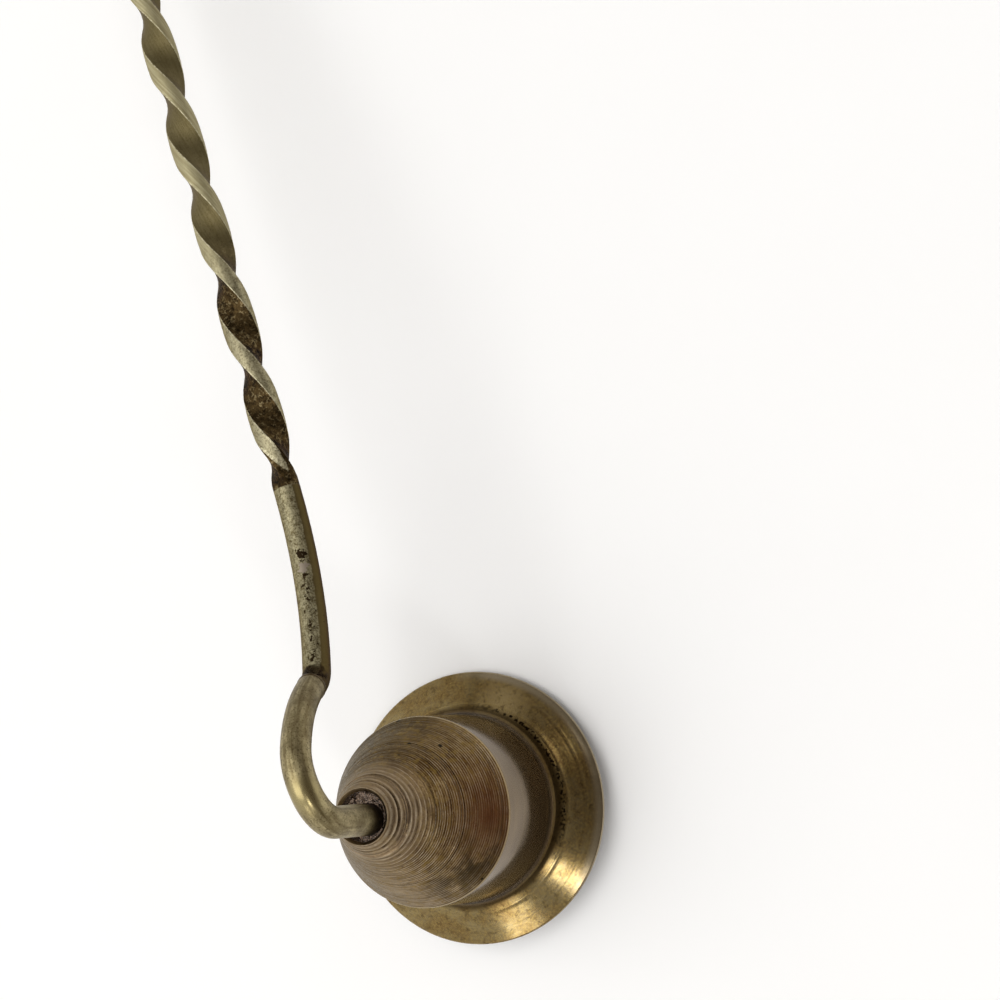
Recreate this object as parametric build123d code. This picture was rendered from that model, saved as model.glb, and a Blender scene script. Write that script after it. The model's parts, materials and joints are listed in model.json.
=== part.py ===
# Candle snuffer: a turned brass bell riveted to a swan-necked rod that ends in a twisted handle.
# Every piece is built with the bell upright: mouth at height zero, bell axis on Z, handle along +X.
# At the end the whole snuffer is laid down as it rests on a table, on its brim and its hanging eye.

import os
from math import asin, atan2, cos, degrees, hypot, radians, sin, sqrt

from build123d import *

# Driving dimensions of the bell, in millimetres
BRIM_RADIUS = 16.0
LIP_THICKNESS = 0.6
WALL_FOOT_RADIUS = 10.9
WALL_FOOT_HEIGHT = 3.45
SHOULDER_RADIUS = 10.5
SHOULDER_HEIGHT = 16.7
BELL_HEIGHT = 32.5
WALL_THICKNESS = 1.15
RIM_WIDTH = 1.1
FLARE_HEIGHT = 3.4

# Driving dimensions of the rod, in millimetres, and of its centre line, in millimetres and degrees
ROD_RADIUS = 1.5
NECK_FOOT_RADIUS = 1.67
NECK_OFFSET = 0.35
NECK_RISE = 7.9
NECK_BEND_RADIUS = 5.0
NECK_BEND_ANGLE = 123.6
NECK_SWEEP_RADIUS = 19.0
NECK_DESCENT = 63.0
SHANK_LEAD = 0.9
SHANK_BEND_RADIUS = 3.85
SHANK_SLOPE = 29.4
SHANK_SWEEP_RADIUS = 43.3

# Driving dimensions of the twisted handle and its hanging eye
FLAT_WIDTH = 4.0
FLAT_THICKNESS = 1.9
FLAT_EDGE_RADIUS = 0.15
FLAT_START_ANGLE = 163.0
FLAT_BLEND_LENGTH = 7.0
HALF_TURNS = 15
HALF_TURN_LENGTH = 11.4
TWIST_LENGTH = HALF_TURNS * HALF_TURN_LENGTH
TAIL_LENGTH = 6.0
EYE_RADIUS = 6.0
EYE_KINK_RADIUS = 3.0
EYE_END_ANGLE = 145.0

# Socket in the crown: the neck stands off its middle, with room to go round, and its mouth is chamfered
SOCKET_GAP = 0.58
SOCKET_RADIUS = NECK_FOOT_RADIUS + NECK_OFFSET + SOCKET_GAP
SOCKET_DEPTH = 1.8
CROWN_CHAMFER = 0.35
CROWN_RADIUS = SOCKET_RADIUS + CROWN_CHAMFER
CROWN_WEB = 2.6

# Riveted tenon: it runs freely in the crown, with a washer and a hammered head below
TENON_RADIUS = 1.1
TENON_RUNNING_GAP = 0.05
END_PLAY = 0.08
RIVET_HEAD_WIDTH = 0.8
RIVET_HEAD_RADIUS = TENON_RADIUS + RIVET_HEAD_WIDTH
RIVET_HEAD_HEIGHT = 0.9
WASHER_MARGIN = 1.0
WASHER_RADIUS = RIVET_HEAD_RADIUS + WASHER_MARGIN
WASHER_THICKNESS = 0.8
WASHER_HOLE_GAP = 0.03

# Brazed joint: a spigot on the handle fits a hole drilled in the end of the swan neck
SPIGOT_SHOULDER = 0.6
SPIGOT_RADIUS = ROD_RADIUS - SPIGOT_SHOULDER
SPIGOT_LENGTH = 2.4
SPIGOT_GAP = 0.02
BRAZE_THICKNESS = 0.25
BRAZE_PROUD = 0.05

# Turned grooves and broken edges
CROWN_GROOVES = 4
CROWN_GROOVE_PITCH = 0.62
CROWN_GROOVE_DEPTH = 0.14
BRIM_GROOVE_DEPTH = 0.09
BRIM_GROOVE_OFFSET = 1.3
LIP_GROOVE_OFFSET = 0.55
GROOVE_WIDTH = 0.3
FOOT_FILLET = 1.6
SHOULDER_FILLET = 0.25
LIP_FILLET = 0.2
BORE_FILLET = 1.0

# Heights inside the crown, from the top down
SOCKET_FLOOR = BELL_HEIGHT - SOCKET_DEPTH
WEB_UNDERSIDE = SOCKET_FLOOR - CROWN_WEB
NECK_FOOT = SOCKET_FLOOR + END_PLAY
WASHER_BOTTOM = WEB_UNDERSIDE - END_PLAY - WASHER_THICKNESS


def sunk_point(start, end, distance, depth):
    """A point at a distance along a line of the outline, sunk to the left of the line's run."""
    run_x = end[0] - start[0]
    run_z = end[1] - start[1]
    length = hypot(run_x, run_z)
    x = start[0] + (run_x * distance - run_z * depth) / length
    z = start[1] + (run_z * distance + run_x * depth) / length
    return (x, z)


def turned_groove(start, end, middle, depth):
    """The three points of a V-shaped groove turned into a line of the outline."""
    half = GROOVE_WIDTH / 2
    return [
        sunk_point(start, end, middle - half, 0),
        sunk_point(start, end, middle, depth),
        sunk_point(start, end, middle + half, 0),
    ]


def corner(face, point):
    """The corner of a flat section that lies nearest to a point of its outline."""
    return face.vertices().sort_by_distance(Vector(point[0], 0, point[1]))[0]


def bell_outside():
    """Outline of the bell's outer side, from the edge of the brim up to the edge of the crown."""
    lip = (BRIM_RADIUS, LIP_THICKNESS)
    foot = (WALL_FOOT_RADIUS, WALL_FOOT_HEIGHT)
    shoulder = (SHOULDER_RADIUS, SHOULDER_HEIGHT)
    crown = (CROWN_RADIUS, BELL_HEIGHT)
    brim_length = hypot(lip[0] - foot[0], lip[1] - foot[1])
    cone_length = hypot(crown[0] - shoulder[0], crown[1] - shoulder[1])

    points = [(BRIM_RADIUS, 0), lip]
    points += turned_groove(lip, foot, LIP_GROOVE_OFFSET, BRIM_GROOVE_DEPTH)
    points += turned_groove(lip, foot, brim_length - BRIM_GROOVE_OFFSET, BRIM_GROOVE_DEPTH)
    points += [foot, shoulder]
    for number in range(CROWN_GROOVES, 0, -1):
        middle = cone_length - number * CROWN_GROOVE_PITCH
        points += turned_groove(shoulder, crown, middle, CROWN_GROOVE_DEPTH)
    return points + [crown]


def bell_inside():
    """Outline of the bell's inner side, from the socket through the web and bore to the rim."""
    hole_radius = TENON_RADIUS + TENON_RUNNING_GAP
    bore_radius = SHOULDER_RADIUS - WALL_THICKNESS
    cone_slope = (SHOULDER_RADIUS - CROWN_RADIUS) / (BELL_HEIGHT - SHOULDER_HEIGHT)
    wall_across = WALL_THICKNESS * sqrt(1 + cone_slope**2)
    web_radius = CROWN_RADIUS + cone_slope * (BELL_HEIGHT - WEB_UNDERSIDE) - wall_across
    bore_top = WEB_UNDERSIDE - (bore_radius - web_radius) / cone_slope
    return [
        (SOCKET_RADIUS, BELL_HEIGHT - CROWN_CHAMFER),
        (SOCKET_RADIUS, SOCKET_FLOOR),
        (hole_radius, SOCKET_FLOOR),
        (hole_radius, WEB_UNDERSIDE),
        (web_radius, WEB_UNDERSIDE),
        (bore_radius, bore_top),
        (bore_radius, FLARE_HEIGHT),
        (BRIM_RADIUS - RIM_WIDTH, 0),
    ]


def make_bell():
    """Hollow bell in one turned piece: crown with a socket, ringed cone, plain wall and flared brim."""
    section = make_face(Plane.XZ * Polyline(*bell_outside(), *bell_inside(), close=True))
    rounded_corners = [
        ((WALL_FOOT_RADIUS, WALL_FOOT_HEIGHT), FOOT_FILLET),
        ((SHOULDER_RADIUS, SHOULDER_HEIGHT), SHOULDER_FILLET),
        ((SHOULDER_RADIUS - WALL_THICKNESS, FLARE_HEIGHT), BORE_FILLET),
        ((BRIM_RADIUS, LIP_THICKNESS), LIP_FILLET),
        ((BRIM_RADIUS, 0), LIP_FILLET),
    ]
    for point, radius in rounded_corners:
        section = fillet(corner(section, point), radius)
    return revolve(section, Axis.Z)


def neck_path():
    """Centre line of the swan neck, from its foot in the socket to its joint with the handle."""
    foot = Vector(-NECK_OFFSET, NECK_FOOT)
    bend_start = foot + Vector(0, NECK_RISE)
    rise = Line(foot, bend_start)
    bend = JernArc(bend_start, (0, 1), NECK_BEND_RADIUS, -NECK_BEND_ANGLE)
    descent = JernArc(bend @ 1, bend % 1, NECK_SWEEP_RADIUS, NECK_BEND_ANGLE - 90 - NECK_DESCENT)
    return Plane.XZ * Wire([rise, bend, descent])


def shank_path(neck):
    """Centre line of the plain shank, from the braze to where the handle runs level."""
    joint = neck @ 1 + (neck % 1) * BRAZE_THICKNESS
    descent = Vector(cos(radians(NECK_DESCENT)), -sin(radians(NECK_DESCENT)))
    lead_start = Vector(joint.X, joint.Z)
    lead = Line(lead_start, lead_start + descent * SHANK_LEAD)
    bend = JernArc(lead @ 1, descent, SHANK_BEND_RADIUS, NECK_DESCENT - SHANK_SLOPE)
    sweep_out = JernArc(bend @ 1, bend % 1, SHANK_SWEEP_RADIUS, SHANK_SLOPE)
    return Plane.XZ * Wire([lead, bend, sweep_out])


def rod_plane(path, place):
    """The plane across a rod's centre line at its start (0) or its end (1)."""
    return Plane(origin=path @ place, z_dir=path % place)


def make_gooseneck(neck):
    """Tapering swan neck with a drilled end for the handle and a tenon peened over below the crown."""
    foot_section = rod_plane(neck, 0) * Circle(NECK_FOOT_RADIUS)
    end_section = rod_plane(neck, 1) * Circle(ROD_RADIUS)
    rod = sweep([foot_section, end_section], neck, multisection=True)
    drill = Plane(origin=neck @ 1, z_dir=-(neck % 1)) * Circle(SPIGOT_RADIUS + SPIGOT_GAP)
    drilled = rod - extrude(drill, SPIGOT_LENGTH + SPIGOT_GAP)
    tenon = Pos(0, 0, WASHER_BOTTOM) * extrude(Circle(TENON_RADIUS), NECK_FOOT - WASHER_BOTTOM)
    return drilled + tenon + make_rivet_head()


def make_rivet_head():
    """Low dome that the end of the tenon is hammered into, against the washer."""
    dome_radius = (RIVET_HEAD_RADIUS**2 + RIVET_HEAD_HEIGHT**2) / (2 * RIVET_HEAD_HEIGHT)
    ball = Pos(0, 0, WASHER_BOTTOM - RIVET_HEAD_HEIGHT + dome_radius) * Sphere(dome_radius)
    return split(ball, Plane.XY.offset(WASHER_BOTTOM), keep=Keep.BOTTOM)


def make_washer():
    """Plain washer between the underside of the crown and the rivet head."""
    disc = Circle(WASHER_RADIUS) - Circle(TENON_RADIUS + WASHER_HOLE_GAP)
    return Pos(0, 0, WASHER_BOTTOM) * extrude(disc, WASHER_THICKNESS)


def make_braze(neck):
    """Ring of braze in the joint between the swan neck and the handle, a little proud of the rod."""
    ring = Circle(ROD_RADIUS + BRAZE_PROUD) - Circle(SPIGOT_RADIUS)
    return extrude(rod_plane(neck, 1) * ring, BRAZE_THICKNESS)


def make_spigot(neck):
    """Thin end of the handle that reaches through the braze into the drilled end of the swan neck."""
    tip = neck @ 1 - (neck % 1) * SPIGOT_LENGTH
    section = Plane(origin=tip, z_dir=neck % 1) * Circle(SPIGOT_RADIUS)
    return extrude(section, SPIGOT_LENGTH + BRAZE_THICKNESS)


def make_twisted_bar(start):
    """The part of the rod that is hammered flat, which leaves its sides round, and twisted left-handed."""
    flattened = SlotOverall(FLAT_WIDTH, 2 * ROD_RADIUS) & Rectangle(FLAT_WIDTH, FLAT_THICKNESS)
    section = fillet(flattened.vertices(), FLAT_EDGE_RADIUS)
    across = Plane(origin=start, x_dir=(0, 1, 0), z_dir=(1, 0, 0))
    flat = (across * Rot(0, 0, FLAT_START_ANGLE) * section).face()
    bar = Solid.extrude_linear_with_rotation(flat, start, Vector(TWIST_LENGTH, 0, 0), -180 * HALF_TURNS)

    # A double cone, round as the rod at its tips, trims the wide sides where the flat begins and ends
    swell = (FLAT_WIDTH / 2 - ROD_RADIUS) / FLAT_BLEND_LENGTH
    middle = TWIST_LENGTH / 2
    cones = Polyline(
        (0, 0),
        (0, ROD_RADIUS),
        (middle, ROD_RADIUS + swell * middle),
        (TWIST_LENGTH, ROD_RADIUS),
        (TWIST_LENGTH, 0),
        close=True,
    )
    return bar & Pos(*start) * revolve(make_face(cones), Axis.X)


def eye_centre(tail_start):
    """Centre of the hanging eye, on the handle's axis."""
    reach = sqrt((EYE_RADIUS + EYE_KINK_RADIUS) ** 2 - EYE_KINK_RADIUS**2)
    return tail_start + Vector(TAIL_LENGTH + reach, 0, 0)


def eye_path(tail_start):
    """Centre line of the tail and of the eye that its end is rolled into, centred on the handle's axis."""
    lean = degrees(asin(EYE_KINK_RADIUS / (EYE_RADIUS + EYE_KINK_RADIUS)))
    tail = Line((0, 0), (TAIL_LENGTH, 0))
    kink = JernArc(tail @ 1, (1, 0), EYE_KINK_RADIUS, lean - 90)
    eye = JernArc(kink @ 1, kink % 1, EYE_RADIUS, EYE_END_ANGLE + 180 - lean)
    return Pos(*tail_start) * Wire([tail, kink, eye])


def make_handle(neck, shank, twist_start, twist_end):
    """Handle in one rod: spigot, plain shank, twisted flat, plain tail and rolled hanging eye."""
    shank_rod = sweep(rod_plane(shank, 0) * Circle(ROD_RADIUS), shank)
    tail_line = eye_path(twist_end)
    tail_rod = sweep(rod_plane(tail_line, 0) * Circle(ROD_RADIUS), tail_line)
    return make_spigot(neck) + shank_rod + make_twisted_bar(twist_start) + tail_rod


def lay_down(twist_end):
    """Turn that lets the upright snuffer down onto its brim and the far side of its hanging eye."""
    reach = eye_centre(twist_end).X + EYE_RADIUS - BRIM_RADIUS
    height = twist_end.Z
    tilt = atan2(height, reach) - asin(ROD_RADIUS / hypot(reach, height))
    return Rot(0, degrees(tilt), 0)


neck_line = neck_path()
shank_line = shank_path(neck_line)
twist_start = shank_line @ 1
twist_end = twist_start + Vector(TWIST_LENGTH, 0, 0)

upright = {
    "bell": make_bell(),
    "gooseneck": make_gooseneck(neck_line),
    "rivet_washer": make_washer(),
    "neck_braze": make_braze(neck_line),
    "twisted_handle": make_handle(neck_line, shank_line, twist_start, twist_end),
}
lying = {node: lay_down(twist_end) * piece for node, piece in upright.items()}

# The origin is the bottom centre of the box around the lying snuffer
extent = Compound(list(lying.values())).bounding_box()
to_origin = Pos(-extent.center().X, -extent.center().Y, -extent.min.Z)

os.makedirs("parts", exist_ok=True)
for node, piece in lying.items():
    export_step(to_origin * piece, f"parts/{node}.step")
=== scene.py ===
# %% [markdown]
# # A brass candle snuffer
#
# A snuffer is a small brass bell on a long handle. It is held over a candle until the flame goes out.
# This lesson dresses a measured model of one. The model comes from a packed folder as five pieces, each in
# its true place and size, so nothing here has to be fitted by eye. All lengths in Blender are metres, and
# `MM` turns the millimetres of a workshop drawing into them.

# %% Load the measured model
import json
import math
import random

import bpy
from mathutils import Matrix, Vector


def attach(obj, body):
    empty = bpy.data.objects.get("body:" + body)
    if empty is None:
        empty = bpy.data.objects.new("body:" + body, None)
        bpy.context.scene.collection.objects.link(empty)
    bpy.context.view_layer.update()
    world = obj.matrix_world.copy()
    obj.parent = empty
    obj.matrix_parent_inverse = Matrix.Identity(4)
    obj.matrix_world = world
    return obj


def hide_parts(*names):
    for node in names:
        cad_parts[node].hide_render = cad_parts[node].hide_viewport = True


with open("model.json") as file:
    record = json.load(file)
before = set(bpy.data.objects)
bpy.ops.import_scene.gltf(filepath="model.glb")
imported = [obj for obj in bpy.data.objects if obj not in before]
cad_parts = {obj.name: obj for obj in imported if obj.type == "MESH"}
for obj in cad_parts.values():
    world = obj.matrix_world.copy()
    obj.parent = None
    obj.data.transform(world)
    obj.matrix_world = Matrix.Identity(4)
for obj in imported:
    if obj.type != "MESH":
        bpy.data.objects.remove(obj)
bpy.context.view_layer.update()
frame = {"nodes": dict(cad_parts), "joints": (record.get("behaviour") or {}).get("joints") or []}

MM = 0.001

# %% [markdown]
# ## The bell's axis and the handle's line
#
# The bell turns on a riveted pin, so the model has a joint there. The joint gives the bell's axis, and the
# axis gives how far the whole snuffer leans as it lies on its brim and its hanging eye. Patterns that
# follow the lathe or the twist of the handle are laid out from these two places.

# %% Find the axes
SOCKET_FLOOR_HEIGHT = 30.7 * MM
TWIST_START_OUT = 37.15 * MM
TWIST_START_UP = 27.44 * MM

swivel = frame["joints"][0]
bell_axis = Vector(swivel["axis"])
bell_mouth = Vector(swivel["pos_m"]) - bell_axis * SOCKET_FLOOR_HEIGHT
lean = math.atan2(bell_axis.x, bell_axis.z)
handle_axis = Vector((math.cos(lean), 0, -math.sin(lean)))
twist_start = bell_mouth + handle_axis * TWIST_START_OUT + bell_axis * TWIST_START_UP
print("bell mouth", bell_mouth, "lean", round(math.degrees(lean), 2), "degrees")

# %% [markdown]
# ## The camera
#
# The view is from above and a little to one side, close to the bell, so that the cone, its socket and the
# start of the twist fill the picture while the rest of the handle runs out of it.

# %% Place the camera
CAMERA_PLACE = (-0.10129, -0.08086, 0.21237)
CAMERA_TURN = [math.radians(angle) for angle in (0.4257, 18.4900, -110.7123)]
CAMERA_LENS = 67.32
NEAREST_SEEN = 10 * MM

bpy.ops.object.select_all(action="DESELECT")
bpy.ops.object.camera_add(location=CAMERA_PLACE, rotation=CAMERA_TURN)
camera = bpy.context.object
camera.data.lens = CAMERA_LENS
camera.data.clip_start = NEAREST_SEEN
bpy.context.scene.camera = camera
print("camera looks along", camera.rotation_euler.to_matrix() @ Vector((0, 0, -1)))

# %% [markdown]
# ## Colours and nodes
#
# Colours are written as the hex values that a paint program shows. Blender mixes light in linear values, so
# one function turns them over. Another small function adds a shader node, sets it and links its inputs. A
# finish is built like paint, one coat over another, so a third function lays coats of colour in their order.

# %% Helpers for materials
def colour(hex_value):
    """Linear red, green, blue and alpha of an sRGB hex colour."""
    channels = [int(hex_value[place:place + 2], 16) / 255 for place in (1, 3, 5)]
    linear = [c / 12.92 if c <= 0.04045 else ((c + 0.055) / 1.055) ** 2.4 for c in channels]
    return (*linear, 1.0)


def add(tree, kind, inputs, output=0, **settings):
    """Adds one shader node with its settings. Inputs are values or sockets to link. Returns one output."""
    node = tree.nodes.new("ShaderNode" + kind)
    for name, value in settings.items():
        setattr(node, name, value)
    for name, value in inputs.items():
        if isinstance(value, bpy.types.NodeSocket):
            tree.links.new(value, node.inputs[name])
        else:
            node.inputs[name].default_value = value
    return node.outputs[output]


def new_material(name, **sockets):
    """A material with its node tree and its Principled shader, whose plain sockets are set by name."""
    material = bpy.data.materials.new(name)
    material.use_nodes = True
    shader = material.node_tree.nodes["Principled BSDF"]
    for socket, value in sockets.items():
        shader.inputs[socket.replace("_", " ")].default_value = value
    return material, material.node_tree, shader


def layered(tree, first, *coats):
    """Coats of colour over a first one. A coat is its share and its tone; tones are hex texts or sockets."""
    tone = colour(first) if isinstance(first, str) else first
    for share, coat in coats:
        over = colour(coat) if isinstance(coat, str) else coat
        tone = add(tree, "MixRGB", {"Fac": share, "Color1": tone, "Color2": over})
    return tone


def dress(tree, shader, **outputs):
    """Links a finish's colour, roughness and relief to the sockets of its shader."""
    for socket, output in outputs.items():
        tree.links.new(output, shader.inputs[socket.replace("_", " ")])


print("a middle grey in linear light:", [round(c, 3) for c in colour("#808080")])

# %% [markdown]
# ## Floor
#
# The snuffer lies on a sheet of pale matt paper. Paper is never one flat white, so a faint cloud of
# unevenness goes into its colour. The sheet is far larger than the picture, so that its edge stays far off.

# %% Lay the floor
FLOOR_SIZE = 40.0
PAPER_CLOUD = 40 * MM

bpy.ops.mesh.primitive_plane_add(size=FLOOR_SIZE)
floor = bpy.context.object
floor.name = "paper_floor"

# Matt paper spreads light evenly and shows no reflection.
paper, tree, shader = new_material("matt_paper", Roughness=0.9)
place = add(tree, "TexCoord", {}, "Object")
cloud = add(tree, "TexNoise", {"Vector": place, "Scale": 1 / PAPER_CLOUD, "Detail": 3.0})
dress(tree, shader, Base_Color=layered(tree, "#FAF9F8", (cloud, "#FDFDFC")))
floor.data.materials.append(paper)
print("floor", FLOOR_SIZE, "m across")

# %% [markdown]
# ## Light
#
# Metal shows what is around it more than it shows itself. Two bright windows stand beyond the bell and give
# the brim its two flashes. A wide soft panel hangs above, and a small one on the camera's side lifts the
# shadows there a little.

# %% Set the lights
LIGHT_DISTANCE = 1.3


def soft_panel(name, azimuth, elevation, width, height, brightness):
    """An area light aimed at the bell, seen from it at an azimuth and an elevation in degrees."""
    turn = math.radians(azimuth)
    rise = math.radians(elevation)
    level = Vector((math.cos(turn), math.sin(turn), 0))
    direction = level * math.cos(rise) + Vector((0, 0, math.sin(rise)))
    place = bell_mouth + direction * LIGHT_DISTANCE
    aim = direction.to_track_quat("Z", "Y").to_euler()
    bpy.ops.object.light_add(type="AREA", location=place, rotation=aim)
    panel = bpy.context.object
    panel.name = name
    panel.data.shape = "RECTANGLE"
    panel.data.size = width
    panel.data.size_y = height
    panel.data.energy = brightness * math.pi * width * height
    panel.visible_camera = False


soft_panel("large_window", azimuth=161, elevation=36, width=0.32, height=0.34, brightness=4.2)
soft_panel("small_window", azimuth=203, elevation=47, width=0.18, height=0.32, brightness=8)
soft_panel("side_panel", azimuth=-51, elevation=52, width=0.3, height=0.3, brightness=1.5)
soft_panel("overhead_panel", azimuth=75, elevation=70, width=1.5, height=1.2, brightness=1.65)
print("lights", [light.name for light in bpy.data.lights])

# %% [markdown]
# The room itself is the rest of what the brass sees. It is dimmer and warmer on the camera's side, which
# keeps that side of the bell brown, and pale on the far side. One ramp across the room does this.

# %% Set the room
ROOM_DARK = (0.17, 0.15, 0.13, 1)
ROOM_LIGHT = (0.95, 0.95, 0.95, 1)
DARK_UNTIL = -0.7
LIGHT_FROM = 0.8

room = bpy.data.worlds.new("studio_room")
bpy.context.scene.world = room
room.use_nodes = True
tree = room.node_tree
direction = add(tree, "TexCoord", {}, "Generated")
across = add(tree, "SeparateXYZ", {"Vector": direction}, "Y")
farness = add(tree, "MapRange", {"Value": across, "From Min": DARK_UNTIL, "From Max": LIGHT_FROM})
grey = add(tree, "MixRGB", {"Fac": farness, "Color1": ROOM_DARK, "Color2": ROOM_LIGHT})
tree.links.new(grey, tree.nodes["Background"].inputs["Color"])
bpy.context.scene.view_settings.view_transform = "Standard"
print("room goes from", ROOM_DARK[:3], "to", ROOM_LIGHT[:3])

# %% [markdown]
# ## The bell's section
#
# The bell was turned on a lathe, so half of its section holds the whole shape. The outline starts at the
# lip, climbs the brim, the wall and the cone to the crown, drops into the socket, and comes back down
# inside. The turning tool left rings on it. They are cut into the outline itself, each a little different,
# because real grooves catch the light in a way that a painted line cannot.

# %% Values and helpers for the outline
LIP = (15.985, 0.6)
LIP_UNDERSIDE = (15.985, 0.0)
FOOT = (10.9, 3.45)
SHOULDER = (10.5, 16.7)
CROWN = (2.95, 32.5)
SOCKET_EDGE = (2.6, 32.15)
SOCKET_FLOOR = 30.7
HOLE_RADIUS = 1.15
WEB_UNDERSIDE = 28.1
WEB_RADIUS = 3.78
BORE_RADIUS = 9.35
BORE_TOP = 16.44
FLARE_HEIGHT = 3.4
RIM_RADIUS = 14.9
ROUND_STEPS = 7

# How much one groove differs from the next, as shares of the pitch, of the depth and of the groove's width.
GROOVE_WIDTHS = (0.55, 1.45)
GROOVE_DEPTHS = (0.1, 1.0)
GROOVE_BOTTOMS = (0.35, 0.65)

tool = random.Random(11)


def between(start, end, share):
    """The point at a share of the way from one point to another."""
    return (start[0] + (end[0] - start[0]) * share, start[1] + (end[1] - start[1]) * share)


def away(start, end, distance):
    """The point at a distance from one point on the way to another."""
    return between(start, end, distance / math.dist(start, end))


def rounded(before, corner, after, reach):
    """A corner of the outline turned into a curve that reaches a little way along both of its lines."""
    first = away(corner, before, reach)
    last = away(corner, after, reach)
    shares = [step / ROUND_STEPS for step in range(ROUND_STEPS + 1)]
    return [between(between(first, corner, s), between(corner, last, s), s) for s in shares]


def tool_rings(start, end, pitch, depth):
    """Grooves along a line of the outline, each of its own width and depth, cut to the left of it."""
    length = math.dist(start, end)
    inward = ((start[1] - end[1]) / length, (end[0] - start[0]) / length)
    points = []
    place = pitch
    while place < length - pitch:
        width = pitch * tool.uniform(*GROOVE_WIDTHS)
        cut = depth * tool.uniform(*GROOVE_DEPTHS) ** 2
        edge = between(start, end, place / length)
        bottom = between(start, end, (place + width * tool.uniform(*GROOVE_BOTTOMS)) / length)
        points.append(edge)
        points.append((bottom[0] + inward[0] * cut, bottom[1] + inward[1] * cut))
        place += width
    return points


print("bell", 2 * LIP[0], "mm across and", CROWN[1], "mm tall")

# %% [markdown]
# The rings differ from zone to zone. The brim is nearly smooth, the wall was polished, the cone is covered
# with lines about a third of a millimetre apart, and just below the crown the tool bit deeper and left
# steps. Each zone has its pitch and its depth.

# %% Draw the outline
BRIM_RINGS = (0.28, 0.012)
COVE_RINGS = (0.22, 0.04)
CONE_RINGS = (0.27, 0.045)
CROWN_STEPS = (0.36, 0.2)
SOCKET_RINGS = (0.3, 0.06)
LIP_ROUND = 0.2
FOOT_ROUND = 0.94
SHOULDER_ROUND = 0.12
CROWN_ROUND = 0.06
FLARE_ROUND = 1.0
BRIM_EDGE = away(LIP, FOOT, 0.5)
BRIM_INNER = away(FOOT, LIP, 2.0)
COVE_EDGE = away(FOOT, LIP, 1.0)
STEP_LINE = away(CROWN, SHOULDER, 3.6)
SOCKET_CORNER = (SOCKET_EDGE[0], SOCKET_FLOOR)
BORE_CORNER = (BORE_RADIUS, BORE_TOP)
RIM = (RIM_RADIUS, 0.0)

outline = rounded(RIM, LIP_UNDERSIDE, LIP, LIP_ROUND)
outline += rounded(LIP_UNDERSIDE, LIP, FOOT, LIP_ROUND)
outline += tool_rings(BRIM_EDGE, BRIM_INNER, *BRIM_RINGS)
outline += tool_rings(BRIM_INNER, COVE_EDGE, *COVE_RINGS)
outline += rounded(LIP, FOOT, SHOULDER, FOOT_ROUND)
outline += rounded(FOOT, SHOULDER, CROWN, SHOULDER_ROUND)
outline += tool_rings(SHOULDER, STEP_LINE, *CONE_RINGS)
outline += tool_rings(STEP_LINE, CROWN, *CROWN_STEPS)
outline += rounded(SHOULDER, CROWN, SOCKET_EDGE, CROWN_ROUND)
outline += [SOCKET_EDGE]
outline += tool_rings(SOCKET_EDGE, SOCKET_CORNER, *SOCKET_RINGS)
outline += [SOCKET_CORNER, (HOLE_RADIUS, SOCKET_FLOOR), (HOLE_RADIUS, WEB_UNDERSIDE)]
outline += [(WEB_RADIUS, WEB_UNDERSIDE), BORE_CORNER]
outline += rounded(BORE_CORNER, (BORE_RADIUS, FLARE_HEIGHT), RIM, FLARE_ROUND)
outline += [RIM]
print("outline of", len(outline), "points")

# %% [markdown]
# ## Spinning the bell
#
# The outline is drawn as by hand: a plane is merged to one point, and that point is extruded from corner to
# corner. Then the spin tool turns the line once round, as the lathe turned the brass. Where the spin ends
# it meets its own start, so doubled points are merged, and the normals are set to look outwards.

# %% Spin the outline into a bell
SPIN_STEPS = 240
MERGE_DISTANCE = 0.001 * MM


def in_metres(point):
    """A point of the outline, in millimetres, as a place in the XZ plane."""
    return Vector((point[0] * MM, 0, point[1] * MM))


bpy.ops.object.select_all(action="DESELECT")
bpy.ops.mesh.primitive_plane_add(size=1 * MM, location=(0, 0, 0))
bell = bpy.context.object
bell.name = "turned_bell"
bpy.ops.object.mode_set(mode="EDIT")
bpy.ops.mesh.merge(type="CENTER")
bpy.ops.transform.translate(value=in_metres(outline[0]))
for start, end in zip(outline, outline[1:] + outline[:1]):
    step = in_metres(end) - in_metres(start)
    bpy.ops.mesh.extrude_vertices_move(TRANSFORM_OT_translate={"value": step})
bpy.ops.mesh.select_all(action="SELECT")
bpy.ops.mesh.remove_doubles(threshold=MERGE_DISTANCE)
bpy.ops.mesh.spin(steps=SPIN_STEPS, angle=2 * math.pi, center=(0, 0, 0), axis=(0, 0, 1))
bpy.ops.mesh.select_all(action="SELECT")
bpy.ops.mesh.remove_doubles(threshold=MERGE_DISTANCE)
bpy.ops.mesh.normals_make_consistent(inside=False)
bpy.ops.object.mode_set(mode="OBJECT")
print("bell has", len(bell.data.polygons), "faces")

# %% [markdown]
# ## One bell, five finishes
#
# Each zone of the bell has its own finish: a ringed cone, a polished wall, a satin brim, grime in the socket
# and soot inside. The faces are sorted by where they lie and whether they look away from the axis. Then the
# bell is moved to its place on the model, which it stands in for.

# %% Sort the faces and put the bell in its place
ZONES = ["cone", "wall", "brim", "socket", "inside"]
ZONE_MARGIN = 0.05
WALL_START = FOOT[1] + 0.35
LOOKS_DOWN = -0.5
SMOOTH_ANGLE = math.radians(35)


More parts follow.
